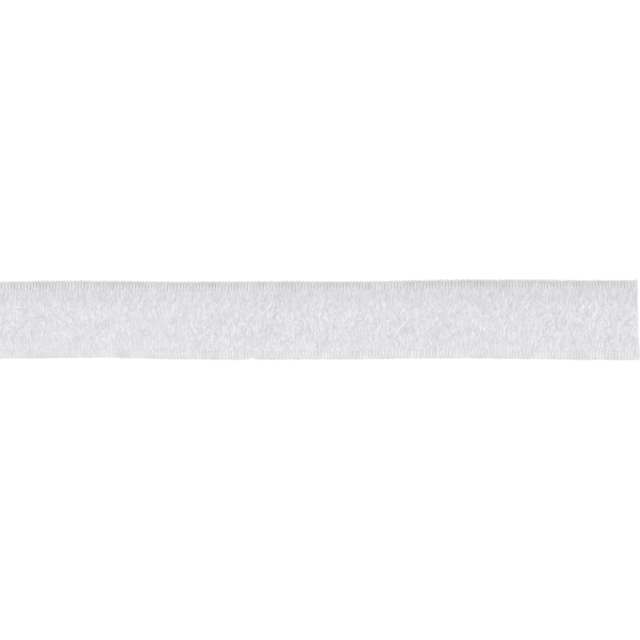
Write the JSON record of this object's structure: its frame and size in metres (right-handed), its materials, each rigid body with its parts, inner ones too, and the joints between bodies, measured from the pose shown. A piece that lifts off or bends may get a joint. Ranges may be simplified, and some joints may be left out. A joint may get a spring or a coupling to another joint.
{
  "type": "flat strip of hook and loop tape, loop side",
  "caption": "Flat cut length of the soft, loop side of a woven fastener tape: a brushed loop bed between plain ribbed selvedges.",
  "frame": {"origin": "on the surface that the strip lies on, under the middle of the strip's box", "axes": "+X along the strip, towards the end that is cut a little off square; +Y across it; +Z out of the loops"},
  "size_m": [0.1804, 0.0206, 0.0023],
  "materials": {
    "white_nylon": "white nylon, brushed loops on a ribbed woven ground"
  },
  "bodies": {
    "root": {"loop_tape": "white_nylon"}
  },
  "joints": []
}
